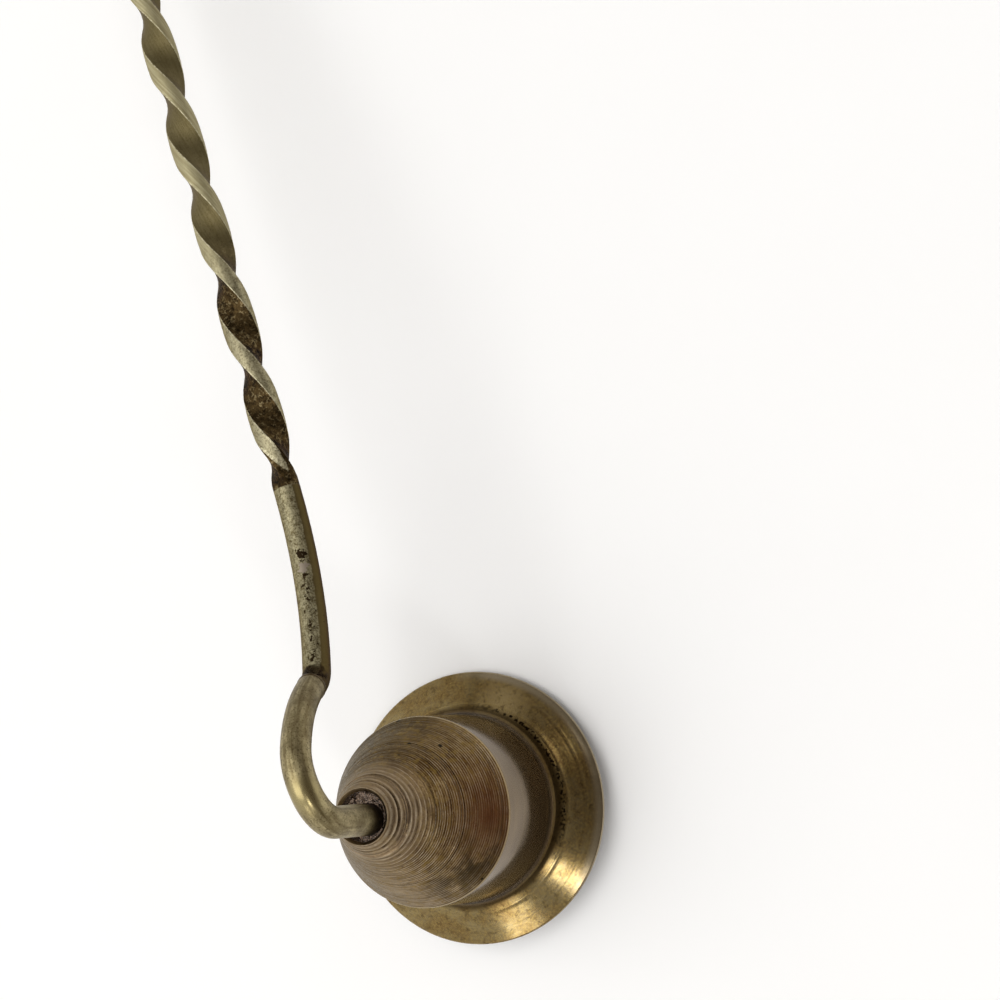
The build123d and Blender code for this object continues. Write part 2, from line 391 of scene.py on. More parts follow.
def zone_of(face):
    """The name of the zone that a face of the upright bell belongs to."""
    radius = math.hypot(face.center.x, face.center.y) / MM
    height = face.center.z / MM
    outward = face.normal.x * face.center.x + face.normal.y * face.center.y
    if height > SOCKET_FLOOR - ZONE_MARGIN and radius < SOCKET_EDGE[0] + ZONE_MARGIN:
        return "socket"
    if height > SOCKET_EDGE[1]:
        return "cone"
    if outward < 0 or face.normal.z < LOOKS_DOWN:
        return "inside"
    if height > SHOULDER[1]:
        return "cone"
    return "wall" if height > WALL_START else "brim"


for face in bell.data.polygons:
    face.material_index = ZONES.index(zone_of(face))
bell.location = bell_mouth
bell.rotation_euler = (0, lean, 0)
bpy.ops.object.transform_apply(location=True, rotation=True, scale=True)
bpy.ops.object.shade_smooth_by_angle(angle=SMOOTH_ANGLE)
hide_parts("bell")
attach(bell, "snuffer_bell")
indices = [face.material_index for face in bell.data.polygons]
print("faces in each zone:", {zone: indices.count(number) for number, zone in enumerate(ZONES)})

# %% [markdown]
# ## Patterns of the lathe
#
# Marks that a lathe leaves run round the axis, and dirt gathers in them. Noise that is squeezed along the
# bell's axis gives such marks in short broken strokes. To squeeze it the right way, the coordinates are
# first moved to the bell's mouth and turned upright. Cone and brim share these patterns.

# %% Lathe patterns
LINE_PITCH = 0.19 * MM
LINE_LENGTH = 2.2 * MM
PATINA_PATCH = 4.5 * MM
# The grain of brass is finer than a tenth of a millimetre. It is drawn coarser, so that it shows.
GRAIN = 0.28 * MM


def own_space(tree, origin):
    """Object coordinates moved to an origin and turned back upright, in metres."""
    place = add(tree, "TexCoord", {}, "Object")
    return add(tree, "Mapping", {"Vector": place, "Location": origin, "Rotation": (0, lean, 0)},
               vector_type="TEXTURE")


def turned_patterns(tree):
    """Lathe coordinates of the bell, with tool lines, patches of patina and grain."""
    lathe = own_space(tree, bell_mouth)
    stroke = (1 / LINE_LENGTH, 1 / LINE_LENGTH, 1 / LINE_PITCH)
    stretch = add(tree, "Mapping", {"Vector": lathe, "Scale": stroke})
    lines = add(tree, "TexNoise", {"Vector": stretch, "Scale": 1.0, "Detail": 3.0, "Roughness": 0.6})
    patina = add(tree, "TexNoise", {"Vector": lathe, "Scale": 1 / PATINA_PATCH, "Detail": 7.0,
                                    "Roughness": 0.7})
    grain = add(tree, "TexNoise", {"Vector": lathe, "Scale": 1 / GRAIN, "Detail": 3.0})
    return lathe, lines, patina, grain


print("tool lines", round(LINE_PITCH / MM, 2), "mm apart, grain", round(GRAIN / MM, 2), "mm")

# %% [markdown]
# Three more patterns come back on several pieces. A stain fades from a middle outwards. Even rings follow
# the height on the bell. Shaking the coordinates with noise, before a stain is laid out in them, gives it
# the ragged edge of a real one.

# %% Stains, rings and ragged edges
def stain(tree, place, middle, reach, full):
    """How strongly a stain colours a place: one within the full radius, none at its reach."""
    distance = add(tree, "VectorMath", {0: place, 1: middle}, "Value", operation="DISTANCE")
    return add(tree, "MapRange", {"Value": distance, "From Min": reach, "From Max": full})


def rings(tree, height, pitch, wobble):
    """Even tool rings, from nothing in the groove to one on the ridge, a little shifted by a wobble."""
    phase = add(tree, "Math", {0: height, 1: 2 * math.pi / pitch, 2: wobble}, operation="MULTIPLY_ADD")
    wave = add(tree, "Math", {0: phase}, operation="SINE")
    return add(tree, "MapRange", {"Value": wave, "From Min": -1.0})


def shaken(tree, place, size, reach):
    """Coordinates shaken by noise, so that whatever is laid out in them gets a ragged edge."""
    noise = add(tree, "TexNoise", {"Vector": place, "Scale": 1 / size, "Detail": 3.0}, "Color")
    centred = add(tree, "VectorMath", {0: noise, 1: (0.5, 0.5, 0.5)}, operation="SUBTRACT")
    return add(tree, "VectorMath", {0: centred, 1: (reach, reach, reach), 2: place},
               operation="MULTIPLY_ADD")


print("pattern helpers:", [helper.__name__ for helper in (stain, rings, shaken)])

# %% [markdown]
# ## Aged turned brass: the cone
#
# Brass that has lain about for years turns brown and grey, darkest in the bottom of the tool lines, where
# painted shade deepens the dirt. One side of the cone is dull, and a grey sheen is painted on another. A
# reddish stain lies near the shoulder with a black one beside it, and casting pores have opened as black
# pits:
# many small ones at random, and three larger ones.

# %% Cone: patterns
FLECK = 0.8 * MM
PORE_SPACING = 3.4 * MM
RED_STAIN = Vector((-3.2, -8.4, 19.5)) * MM
RED_STAIN_REACH = 8.0 * MM
DARK_STAIN = Vector((-7.6, -4.6, 19.5)) * MM
DARK_STAIN_REACH = 6.5 * MM
DULL_SIDE = Vector((0.8, 0.6, 0))
SHEEN_SIDE = Vector((-0.42, 0.87, 0))

# Worn turned metal: a wide brown shine, broken by lines, that greys where it is seen at a low angle, with a
# grey sheen also painted on one side.
cone_brass, tree, shader = new_material("aged_turned_brass", Metallic=1.0,
                                        Specular_Tint=colour("#E0DCD2"))
lathe, lines, patina, grain = turned_patterns(tree)
flecks = add(tree, "TexNoise", {"Vector": lathe, "Scale": 1 / FLECK, "Detail": 5.0, "Roughness": 0.65})
pores = add(tree, "TexVoronoi", {"Vector": lathe, "Scale": 1 / PORE_SPACING}, "Distance")
dull_side = add(tree, "VectorMath", {0: lathe, 1: DULL_SIDE}, "Value", operation="DOT_PRODUCT")
sheen_side = add(tree, "VectorMath", {0: lathe, 1: SHEEN_SIDE}, "Value", operation="DOT_PRODUCT")
height = add(tree, "SeparateXYZ", {"Vector": lathe}, "Z")
near_red = stain(tree, lathe, RED_STAIN, RED_STAIN_REACH, 0)
near_dark = stain(tree, lathe, DARK_STAIN, DARK_STAIN_REACH, 0)
print("cone patterns:", len(tree.nodes), "nodes")

# %% [markdown]
# The tool lines need the most care. Even rings, fine on the cone and wider by the crown, are broken up by
# the strokes of noise. What lies low in the sum is a dark groove, dirt deepened with painted shade, and what
# lies high is a pale ridge, a painted highlight. Both fade on the dull side, where the lines are worn away.

# %% Cone: grooves and ridges
RING_PITCH = 0.3 * MM
STEP_PITCH = 0.6 * MM
CROWN_ZONE = (26 * MM, 29 * MM)
LINES_FADE = (6 * MM, -5 * MM)

by_crown = add(tree, "MapRange", {"Value": height, "From Min": CROWN_ZONE[0], "From Max": CROWN_ZONE[1]})
fine_rings = rings(tree, height, RING_PITCH, patina)
wide_rings = rings(tree, height, STEP_PITCH, patina)
ring = add(tree, "MixRGB", {"Fac": by_crown, "Color1": fine_rings, "Color2": wide_rings})
broken_ring = add(tree, "Math", {0: lines, 1: 1.6, 2: ring}, operation="MULTIPLY_ADD")
dark_line = add(tree, "MapRange", {"Value": broken_ring, "From Min": 1.14, "From Max": 0.86,
                                   "To Max": 0.7})
pale_line = add(tree, "MapRange", {"Value": broken_ring, "From Min": 1.48, "From Max": 1.78,
                                   "To Max": 0.75})
line_side = add(tree, "MapRange", {"Value": dull_side, "From Min": LINES_FADE[0],
                                   "From Max": LINES_FADE[1], "To Min": 0.15})
line_patch = add(tree, "MapRange", {"Value": flecks, "From Min": 0.62, "From Max": 0.42, "To Min": 0.4})
line_share = add(tree, "Math", {0: line_side, 1: line_patch}, operation="MULTIPLY")
# Dark grooves are dirt with painted shade; pale ridges are painted highlights.
groove_dirt_and_shade = add(tree, "Math", {0: dark_line, 1: line_share}, operation="MULTIPLY")
painted_ridge_highlight = add(tree, "Math", {0: pale_line, 1: line_share}, operation="MULTIPLY")
print("cone lines:", len(tree.nodes), "nodes")

# %% [markdown]
# Next comes where each of the other coats lies: patches of patina, grain, flecks, the dull side, the painted
# grey sheen, the black stain, the painted highlight on the edge of the shoulder, and the pits with their
# ragged rims.

# %% Cone: patches and pits
DULL_ZONE = (-2 * MM, 8 * MM)
SHEEN_REACH = 9 * MM
EDGE_ZONE = (16.95 * MM, 16.8 * MM)
PORE_RADIUS = 0.2 * MM
PIT_RADIUS = 0.32 * MM
PITS = [Vector(place) * MM for place in ((5.5, -6.1, 21.2), (6.6, -3.35, 22.8), (10.3, -0.55, 17.05))]

patchy = add(tree, "MapRange", {"Value": patina, "From Min": 0.4, "From Max": 0.6})
speckled = add(tree, "MapRange", {"Value": grain, "From Min": 0.34, "From Max": 0.66})
flecked = add(tree, "MapRange", {"Value": flecks, "From Min": 0.52, "From Max": 0.6, "To Max": 0.6})
dulled = add(tree, "MapRange", {"Value": dull_side, "From Min": DULL_ZONE[0], "From Max": DULL_ZONE[1],
                                "To Max": 0.9})
# A grey sheen painted on one side of the cone.
painted_grey_sheen = add(tree, "MapRange", {"Value": sheen_side, "From Max": SHEEN_REACH, "To Max": 0.6})
dark_patch = add(tree, "Math", {0: near_dark, 1: 0.5, 2: patchy}, operation="MULTIPLY_ADD")
dark_edge = add(tree, "MapRange", {"Value": dark_patch, "From Min": 0.1, "From Max": 0.9, "To Max": 0.9})
darkened = add(tree, "Math", {0: near_dark, 1: dark_edge}, operation="MULTIPLY")
crown_wear = add(tree, "Math", {0: by_crown, 1: 0.45}, operation="MULTIPLY")
# A painted highlight along the edge of the shoulder.
painted_edge_sheen = add(tree, "MapRange", {"Value": height, "From Min": EDGE_ZONE[0], "From Max": EDGE_ZONE[1],
                              "To Max": 0.6})
pitted = add(tree, "MapRange", {"Value": pores, "From Min": PORE_RADIUS / PORE_SPACING,
                                "From Max": 0.6 * PORE_RADIUS / PORE_SPACING})
rough_place = shaken(tree, lathe, GRAIN, GRAIN)
for pit in PITS:
    pit_share = stain(tree, rough_place, pit, PIT_RADIUS, 0.7 * PIT_RADIUS)
    pitted = add(tree, "Math", {0: pitted, 1: pit_share}, operation="MAXIMUM")
print("cone patches:", len(tree.nodes), "nodes and", len(PITS), "large pits")

# %% [markdown]
# Colour goes on coat by coat: pale brass first, then brown patina, the dull side and the painted grey
# sheen, flecks, wear at the crown, dirt and painted shade in the lines, painted highlights on the ridges,
# stains, the painted highlight on the edge of the shoulder, and last the pits.

# %% Cone: colour, sheen and relief
tone = layered(tree, "#573F22", (speckled, "#A0865A"), (patchy, "#4A3313"), (dulled, "#352710"),
               (painted_grey_sheen, "#86796A"), (flecked, "#77602F"), (crown_wear, "#8C7C68"), (groove_dirt_and_shade, "#2E200E"),
               (painted_ridge_highlight, "#B5A58C"), (near_red, "#4E2E1A"), (darkened, "#261E11"), (painted_edge_sheen, "#B6A480"),
               (pitted, "#120C06"))
rough = add(tree, "MapRange", {"Value": grain, "From Min": 0.3, "From Max": 0.7,
                               "To Min": 0.26, "To Max": 0.5})
relief = add(tree, "Math", {0: grain, 1: 0.6, 2: lines}, operation="MULTIPLY_ADD")
bump = add(tree, "Bump", {"Height": relief, "Strength": 0.5, "Distance": 0.04 * MM})
dress(tree, shader, Base_Color=tone, Roughness=rough, Normal=bump)
print("cone brass:", len(tree.nodes), "nodes")

# %% [markdown]
# ## Polished brass: the wall
#
# The wall below the shoulder was polished, so it is nearly a mirror. Its upper part reflects the pale floor
# and its lower part reflects the brim, which draws a line round it without any painting. Long faint streaks
# are left by the polishing cloth, and they run round as the lathe turned.

# %% Wall
POLISH_PITCH = 1.6 * MM
POLISH_LENGTH = 9 * MM

# A dim brown mirror, a little clouded by tarnish.
wall_brass, tree, shader = new_material("polished_brass", Metallic=0.85)
lathe = own_space(tree, bell_mouth)
stroke = (1 / POLISH_LENGTH, 1 / POLISH_LENGTH, 1 / POLISH_PITCH)
stretch = add(tree, "Mapping", {"Vector": lathe, "Scale": stroke})
polish = add(tree, "TexNoise", {"Vector": stretch, "Scale": 1.0, "Detail": 2.0})
patina = add(tree, "TexNoise", {"Vector": lathe, "Scale": 1 / PATINA_PATCH, "Detail": 4.0})
streaked = add(tree, "MapRange", {"Value": polish, "From Min": 0.35, "From Max": 0.65})
tarnish = layered(tree, "#867253", (patina, "#6E5B3F"))
tone = layered(tree, "#6E5C43", (streaked, tarnish))
rough = add(tree, "MapRange", {"Value": patina, "From Min": 0.3, "From Max": 0.7,
                               "To Min": 0.08, "To Max": 0.15})
bump = add(tree, "Bump", {"Height": polish, "Strength": 0.3, "Distance": 0.02 * MM})
dress(tree, shader, Base_Color=tone, Roughness=rough, Normal=bump)
print("wall brass:", len(tree.nodes), "nodes")

# %% [markdown]
# ## Satin brass: the brim
#
# The brim is wiped clean more often than the cone, so it still looks like gold where the light falls on it.
# The ring at its inner edge, round the foot of the wall, is darkened all round, partly by old polish and
# partly by painted shade. On one side the polish has set there to black crumbs, which lie in a broken row
# round the foot of the wall, and to a yellow crust. The outer edge on that side carries a painted pale
# reflection.

# %% Brim: where the dirt lies
HOLLOW_RADIUS = 11.55 * MM
HOLLOW_WIDTH = 0.6 * MM
CRUMB_RADIUS = 11.9 * MM
CRUMB_ROW = (0.5 * MM, 0.1 * MM)
CRUMB = 0.36 * MM
YELLOW_CRUST = Vector((10.4, -8.2, 2.6)) * MM
YELLOW_CRUST_REACH = 4 * MM
DIRTY_SIDE = Vector((0.2, -0.98, 0))
DIRTY_ZONE = (5 * MM, 10 * MM)
SHEEN_EDGE_RADIUS = 14.9 * MM
SHEEN_EDGE_WIDTH = 0.6 * MM

# Satin gold with a soft flash, spotted brown.
brim_brass, tree, shader = new_material("satin_brass", Metallic=1.0)
lathe, lines, patina, grain = turned_patterns(tree)
flat_place = add(tree, "VectorMath", {0: lathe, 1: (1, 1, 0)}, operation="MULTIPLY")
radius = add(tree, "VectorMath", {0: flat_place}, "Value", operation="LENGTH")
side = add(tree, "VectorMath", {0: lathe, 1: DIRTY_SIDE}, "Value", operation="DOT_PRODUCT")
dirty_side = add(tree, "MapRange", {"Value": side, "From Min": DIRTY_ZONE[0], "From Max": DIRTY_ZONE[1]})
# The ring round the foot of the wall is darkened, by old polish and by painted shade.
hollow_dirt_and_shade = add(tree, "MapRange", {"Value": radius, "From Min": HOLLOW_RADIUS + HOLLOW_WIDTH,
                                "From Max": HOLLOW_RADIUS, "To Max": 0.75})
crumbly = add(tree, "TexNoise", {"Vector": lathe, "Scale": 1 / CRUMB, "Detail": 3.0})
from_row = add(tree, "Math", {0: radius, 1: CRUMB_RADIUS}, operation="SUBTRACT")
off_row = add(tree, "Math", {0: from_row}, operation="ABSOLUTE")
on_row = add(tree, "MapRange", {"Value": off_row, "From Min": CRUMB_ROW[0], "From Max": CRUMB_ROW[1]})
heaped = add(tree, "Math", {0: on_row, 1: 0.22, 2: crumbly}, operation="MULTIPLY_ADD")
crumbs = add(tree, "MapRange", {"Value": heaped, "From Min": 0.7, "From Max": 0.76})
dirt = add(tree, "Math", {0: crumbs, 1: dirty_side}, operation="MULTIPLY")
yellow = stain(tree, lathe, YELLOW_CRUST, YELLOW_CRUST_REACH, 0)
# A pale painted reflection along the outer edge, on the dirty side.
painted_sheen_band = add(tree, "MapRange", {"Value": radius, "From Min": SHEEN_EDGE_RADIUS,
                                   "From Max": SHEEN_EDGE_RADIUS + SHEEN_EDGE_WIDTH})
painted_edge_sheen = add(tree, "Math", {0: painted_sheen_band, 1: dirty_side}, operation="MULTIPLY")
print("brim patterns:", len(tree.nodes), "nodes")

# %% [markdown]
# The coats of the brim, from the inside out: gold with tool lines, brown spots, the yellow crust, dark
# flecks, pale grain, the painted reflection on the outer edge, the inner ring darkened by old polish and
# painted shade, and the crumbs. Where the patina lies thick the brass is rougher, so the flashes break up.

# %% Brim: colour, sheen and relief
spots = add(tree, "MapRange", {"Value": patina, "From Min": 0.42, "From Max": 0.6})
flecks = add(tree, "TexNoise", {"Vector": lathe, "Scale": 1 / FLECK, "Detail": 5.0, "Roughness": 0.65})
flecked = add(tree, "MapRange", {"Value": flecks, "From Min": 0.52, "From Max": 0.64, "To Max": 0.6})
speckled = add(tree, "MapRange", {"Value": grain, "From Min": 0.4, "From Max": 0.66, "To Max": 0.5})
tone = layered(tree, "#655332", (lines, "#A2916A"), (spots, "#745D38"), (yellow, "#B09A6C"),
               (flecked, "#4A381E"), (speckled, "#A08A54"), (painted_edge_sheen, "#9C8E74"), (hollow_dirt_and_shade, "#30210F"),
               (dirt, "#1A1007"))
rough = add(tree, "MapRange", {"Value": patina, "From Min": 0.3, "From Max": 0.7,
                               "To Min": 0.13, "To Max": 0.28})
bump = add(tree, "Bump", {"Height": lines, "Strength": 0.25, "Distance": 0.02 * MM})
dress(tree, shader, Base_Color=tone, Roughness=rough, Normal=bump)
print("brim brass:", len(tree.nodes), "nodes")

# %% [markdown]
# ## Grime and soot
#
# The socket has never been cleaned: polish, wax and dust have set in it to a brown, lumpy crust with a shiny
# skin, which is the coat of the shader. Inside the bell lies dry soot.

# %% Socket and inside
CRUST = 0.6 * MM

# A dark lumpy crust that glints where its waxy skin faces a light.
grime, tree, shader = new_material("socket_grime", Metallic=1.0, Coat_Weight=1.0, Coat_Roughness=0.04)
lathe = own_space(tree, bell_mouth)
crust = add(tree, "TexNoise", {"Vector": lathe, "Scale": 1 / CRUST, "Detail": 4.0})
tone = layered(tree, "#2A1E14", (crust, "#765F4A"))
rough = add(tree, "MapRange", {"Value": crust, "From Min": 0.3, "From Max": 0.7,
                               "To Min": 0.3, "To Max": 0.03})
bump = add(tree, "Bump", {"Height": crust, "Strength": 1.0, "Distance": 0.35 * MM})
dress(tree, shader, Base_Color=tone, Roughness=rough, Normal=bump, Coat_Normal=bump)

# Dry soot swallows light; a little brown metal shows through where it has flaked.
soot, tree, shader = new_material("soot_on_brass", Metallic=0.4)
lathe = own_space(tree, bell_mouth)
flakes = add(tree, "TexNoise", {"Vector": lathe, "Scale": 1 / PATINA_PATCH, "Detail": 8.0,
                                "Roughness": 0.7})
tone = layered(tree, "#15110D", (flakes, "#5A4830"))
rough = add(tree, "MapRange", {"Value": flakes, "To Min": 0.5, "To Max": 0.9})
dress(tree, shader, Base_Color=tone, Roughness=rough)

for material in (cone_brass, wall_brass, brim_brass, grime, soot):
    bell.data.materials.append(material)
print("bell finishes", [material.name for material in bell.data.materials])

# %% [markdown]
# ## Drawn brass rod: the swan neck
#
# The neck is drawn rod, bent by hand. Drawing leaves faint streaks along it. The neck lies in one upright
# plane, so a pattern that is squeezed sideways runs along the rod everywhere. The top of the bend, where a
# finger rests, is rubbed smoother and painted lighter as a highlight. Near its foot, down in the socket, the
# rod is made darker.

# %% Swan neck
STREAK_WIDTH = 0.3 * MM
STREAK_LENGTH = 4 * MM
# Real specks of tarnish are mostly finer. They are drawn as coarse as a pixel or two, so that they show.
SPECK = 0.2 * MM
RUB_GLINT_SPOT = Vector((2.4, -0.3, 44.8)) * MM
RUB_GLINT_REACH = 2.6 * MM
RUB_GLINT_FULL = 0.8 * MM
JOINT_ZONE = (9 * MM, 13 * MM)
BURIED_ZONE = (33.0 * MM, 31.6 * MM)

# Dull olive metal with a soft shine along it, and a painted highlight in one place.
neck_brass, tree, shader = new_material("drawn_brass_rod", Metallic=1.0)
rod = own_space(tree, bell_mouth)
stroke = (1 / STREAK_LENGTH, 1 / STREAK_WIDTH, 1 / STREAK_LENGTH)
stretch = add(tree, "Mapping", {"Vector": rod, "Scale": stroke})
streaks = add(tree, "TexNoise", {"Vector": stretch, "Scale": 1.0, "Detail": 4.0, "Roughness": 0.6})
specks = add(tree, "TexNoise", {"Vector": rod, "Scale": 1 / SPECK, "Detail": 3.0})
patina = add(tree, "TexNoise", {"Vector": rod, "Scale": 2 / PATINA_PATCH, "Detail": 6.0,
                                "Roughness": 0.65})
height = add(tree, "SeparateXYZ", {"Vector": rod}, "Z")
out = add(tree, "SeparateXYZ", {"Vector": rod}, "X")
streaky = add(tree, "MapRange", {"Value": streaks, "From Min": 0.3, "From Max": 0.68})
patchy = add(tree, "MapRange", {"Value": patina, "From Min": 0.45, "From Max": 0.6, "To Max": 0.7})
dark_specks = add(tree, "MapRange", {"Value": specks, "From Min": 0.54, "From Max": 0.66, "To Max": 0.65})
by_joint = add(tree, "MapRange", {"Value": out, "From Min": JOINT_ZONE[0], "From Max": JOINT_ZONE[1],
                                  "To Max": 0.35})
# The rod is made darker near its foot, down in the socket.
buried = add(tree, "MapRange", {"Value": height, "From Min": BURIED_ZONE[0], "From Max": BURIED_ZONE[1]})
# The top of the bend is smoother from rubbing, and is painted lighter as a highlight.
rubbed_and_glint = stain(tree, rod, RUB_GLINT_SPOT, RUB_GLINT_REACH, RUB_GLINT_FULL)

tone = layered(tree, "#6A5C3C", (streaky, "#B6A981"), (patchy, "#685B3E"), (dark_specks, "#4A3D25"),
               (by_joint, "#463A24"), (rubbed_and_glint, "#A09268"), (buried, "#3A2E1E"))
worn_smooth = add(tree, "MapRange", {"Value": rubbed_and_glint, "To Min": 0.38, "To Max": 0.15})
rough = add(tree, "Math", {0: specks, 1: 0.2, 2: worn_smooth}, operation="MULTIPLY_ADD")
bump = add(tree, "Bump", {"Height": streaks, "Strength": 0.25, "Distance": 0.04 * MM})
dress(tree, shader, Base_Color=tone, Roughness=rough, Normal=bump)
print("neck brass:", len(tree.nodes), "nodes")

# %% [markdown]
# ## Hammered and twisted brass: the handle
#
# The handle is the same rod, hammered flat for most of its length and twisted. The two flats went dark under
# the hammer. The round sides between them are the old skin of the rod, dull and pale, with a painted
# highlight line along each edge. To paint this, the twist is undone: each point is turned back about the
# handle by the angle that the bar was twisted there, and then the flats lie still.

# %% Handle: undo the twist
HALF_TURN_LENGTH = 11.4 * MM
TWIST_LENGTH = 15 * HALF_TURN_LENGTH
TWIST_START_BLEND = 0.05 * MM
TWIST_END_BLEND = 0.1 * MM
FLAT_START_ANGLE = math.radians(163)
FLAT_EDGE = 1.66 * MM
EDGE_LINE = 0.06 * MM

# Half dull skin, half metal: a broad weak shine that goes brown at a low angle.
handle_brass, tree, shader = new_material("hammered_twisted_brass", Specular_Tint=colour("#8C7B5A"))
handle = own_space(tree, twist_start)
along = add(tree, "SeparateXYZ", {"Vector": handle}, "X")
turned = add(tree, "Math", {0: along, 1: math.pi / HALF_TURN_LENGTH, 2: -FLAT_START_ANGLE},
             operation="MULTIPLY_ADD")
flat_space = add(tree, "VectorRotate", {"Vector": handle, "Angle": turned}, rotation_type="X_AXIS")
width = add(tree, "SeparateXYZ", {"Vector": flat_space}, "Y")
from_middle = add(tree, "Math", {0: width}, operation="ABSOLUTE")
past_start = add(tree, "MapRange", {"Value": along, "From Min": -TWIST_START_BLEND,
                                    "From Max": TWIST_START_BLEND})
past_end = add(tree, "MapRange", {"Value": along, "From Min": TWIST_LENGTH,
                                  "From Max": TWIST_LENGTH + TWIST_END_BLEND})
in_twist = add(tree, "Math", {0: past_start, 1: past_end}, operation="SUBTRACT")
inside_edge = add(tree, "MapRange", {"Value": from_middle, "From Min": FLAT_EDGE + EDGE_LINE,
                                     "From Max": FLAT_EDGE - EDGE_LINE})
on_flat = add(tree, "Math", {0: in_twist, 1: inside_edge}, operation="MULTIPLY")
to_edge = add(tree, "Math", {0: from_middle, 1: FLAT_EDGE, 2: EDGE_LINE}, operation="COMPARE")
on_edge = add(tree, "Math", {0: in_twist, 1: to_edge}, operation="MULTIPLY")
print("handle without its twist:", len(tree.nodes), "nodes")

# %% [markdown]
# The plain shank has a pale, speckled front and a smooth olive side that is painted darker as shade, with a
# wavy line between the two. The line is found from how far a point lies to one side, and it ends where the
# twist starts.

# %% Handle: front and side of the shank
MOTTLE = 0.7 * MM
SIDE_LINE = -1.12 * MM
SIDE_BLEND = (0.15 * MM, 0.05 * MM)
SIDE_WAVE = 0.2 * MM

specks = add(tree, "TexNoise", {"Vector": handle, "Scale": 1 / SPECK, "Detail": 4.0, "Roughness": 0.6})
mottle = add(tree, "TexNoise", {"Vector": handle, "Scale": 1 / MOTTLE, "Detail": 4.0, "Roughness": 0.6})
uneven = add(tree, "Math", {0: mottle, 1: 0.6, 2: specks}, operation="MULTIPLY_ADD")
speckled = add(tree, "MapRange", {"Value": uneven, "From Min": 0.62, "From Max": 0.98})
sideways = add(tree, "SeparateXYZ", {"Vector": handle}, "Y")
wavy = add(tree, "Math", {0: mottle, 1: SIDE_WAVE, 2: sideways}, operation="MULTIPLY_ADD")
off_front = add(tree, "MapRange", {"Value": wavy, "From Min": SIDE_LINE + SIDE_BLEND[0],
                                   "From Max": SIDE_LINE + SIDE_BLEND[1]})
before_twist = add(tree, "Math", {0: 1.0, 1: past_start}, operation="SUBTRACT")
# The far side of the shank is painted darker as shade.
shaded_side = add(tree, "Math", {0: off_front, 1: before_twist}, operation="MULTIPLY")
print("shank sides:", len(tree.nodes), "nodes")

# %% [markdown]
# A chain of black stains and fine cracks runs down beside that line, from a black wedge with a pale patch
# under it to a scorched patch at the joint, where the flame of the brazing torch met the brass.

# %% Handle: stains of the shank
CHAIN_LINE = -0.45 * MM
CHAIN_HALF_WIDTH = (0.7 * MM, 0.15 * MM)
CHAIN_START = -7.5 * MM
CHAIN_END = -21 * MM
CHAIN_FADE = 1 * MM
STAIN = 0.6 * MM
CRACK = 1.0 * MM
RAGGED_SIZE = 0.8 * MM
RAGGED_REACH = 2.4 * MM
WEDGE = Vector((-8.0, -0.5, 2.2)) * MM
PALE_PATCH = Vector((-9.4, -0.45, 2.5)) * MM
SCORCH = Vector((-21.8, -0.45, 7.9)) * MM

from_chain = add(tree, "Math", {0: sideways, 1: CHAIN_LINE}, operation="SUBTRACT")
off_chain = add(tree, "Math", {0: from_chain}, operation="ABSOLUTE")
near_chain = add(tree, "MapRange", {"Value": off_chain, "From Min": CHAIN_HALF_WIDTH[0],
                                    "From Max": CHAIN_HALF_WIDTH[1]})
chain_top = add(tree, "MapRange", {"Value": along, "From Min": CHAIN_START,
                                   "From Max": CHAIN_START - CHAIN_FADE})
chain_low = add(tree, "MapRange", {"Value": along, "From Min": CHAIN_END,
                                   "From Max": CHAIN_END + CHAIN_FADE})
chain_part = add(tree, "Math", {0: chain_top, 1: chain_low}, operation="MULTIPLY")
chain = add(tree, "Math", {0: chain_part, 1: near_chain}, operation="MULTIPLY")
stains = add(tree, "TexNoise", {"Vector": handle, "Scale": 1 / STAIN, "Detail": 5.0, "Roughness": 0.65})
cracks = add(tree, "TexVoronoi", {"Vector": handle, "Scale": 1 / CRACK}, "Distance",
             feature="DISTANCE_TO_EDGE")
stain_strength = add(tree, "Math", {0: chain, 1: 0.11, 2: stains}, operation="MULTIPLY_ADD")
stained = add(tree, "MapRange", {"Value": stain_strength, "From Min": 0.64, "From Max": 0.68})
crack_line = add(tree, "MapRange", {"Value": cracks, "From Min": 0.07, "From Max": 0.03, "To Max": 0.5})
cracked = add(tree, "Math", {0: crack_line, 1: chain}, operation="MULTIPLY")
ragged = shaken(tree, handle, RAGGED_SIZE, RAGGED_REACH)
wedge = stain(tree, ragged, WEDGE, 0.55 * MM, 0.45 * MM)
pale_patch = stain(tree, ragged, PALE_PATCH, 0.65 * MM, 0.55 * MM)
scorched = stain(tree, ragged, SCORCH, 1.8 * MM, 1.2 * MM)
scorch_grain = add(tree, "MapRange", {"Value": specks, "From Min": 0.3, "From Max": 0.6, "To Min": 0.6})
scorch = add(tree, "Math", {0: scorched, 1: scorch_grain}, operation="MULTIPLY")
shank = layered(tree, "#5A4F34", (speckled, "#ABA383"), (shaded_side, "#584C2E"), (stained, "#2E2212"),
                (cracked, "#2E2212"), (wedge, "#2A1F12"), (pale_patch, "#9C9080"), (scorch, "#22180C"))
print("shank:", len(tree.nodes), "nodes")

# %% [markdown]
# The flats of the twist are black with old dirt near the bell, with short pale strokes where something has
# scraped it. Further out, where the hand holds them, they are rubbed to a dull satin with fine scratches
# along the bar, and the round sides are rubbed clean as well.

# %% Handle: flats and sides of the twist
RUBBED_ZONE = (24 * MM, 31 * MM)
# Real scratches are hair-thin. They are drawn a little wider, so that they show.
SCRATCH_WIDTH = 0.2 * MM
SCRATCH_LENGTH = 5 * MM
SQUIGGLE = 0.55 * MM
SQUIGGLE_SHAKE = 1.0 * MM

